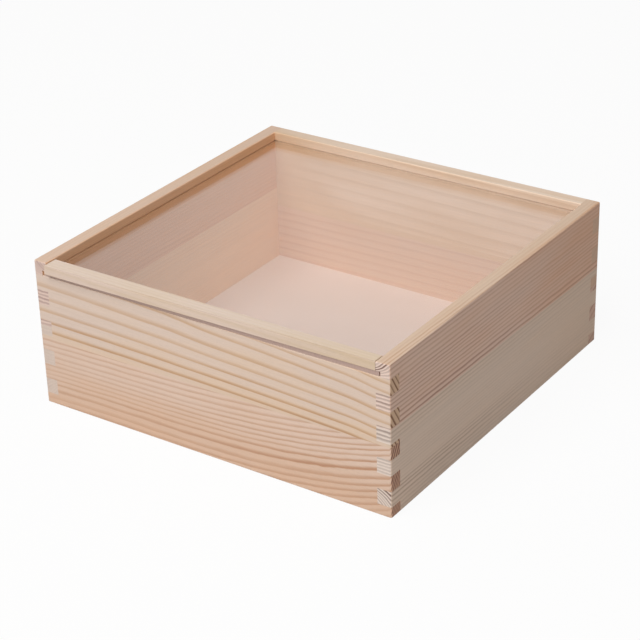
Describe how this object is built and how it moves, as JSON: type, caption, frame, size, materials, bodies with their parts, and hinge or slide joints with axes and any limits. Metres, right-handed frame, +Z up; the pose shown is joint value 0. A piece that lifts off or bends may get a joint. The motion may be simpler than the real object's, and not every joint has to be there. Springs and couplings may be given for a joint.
{
  "type": "sliding lid wooden box",
  "caption": "Shallow square keepsake box in finger-jointed pine, with a plywood bottom and a clear lid that slides out at the front in grooves.",
  "frame": {"origin": "middle of the underside, between the box's outer faces", "axes": "+X to the right seen from the front, +Y from the front to the back, +Z up; the lid slides out along -Y"},
  "size_m": [0.245, 0.2428, 0.095],
  "materials": {
    "pine_wide_grain": "matte",
    "pine_close_grain": "matte",
    "pine_dark_grain": "matte",
    "pine_pale": "matte",
    "pine_rail": "matte",
    "plywood": "matte",
    "clear_acrylic": "polished"
  },
  "bodies": {
    "box": {"front_wall_upper_board": "pine_wide_grain", "front_wall_lower_board": "pine_close_grain", "back_wall_upper_board": "pine_wide_grain", "back_wall_lower_board": "pine_close_grain", "left_wall_upper_board": "pine_dark_grain", "left_wall_lower_board": "pine_pale", "right_wall_upper_board": "pine_dark_grain", "right_wall_lower_board": "pine_pale", "bottom_panel": "plywood"},
    "lid": {"lid_panel": "clear_acrylic", "lid_rail": "pine_rail"}
  },
  "joints": [
    {"name": "lid_slide", "type": "slide", "parent": "box", "child": "lid", "axis": [0, -1, 0], "range_m": [0, 0.24]}
  ]
}
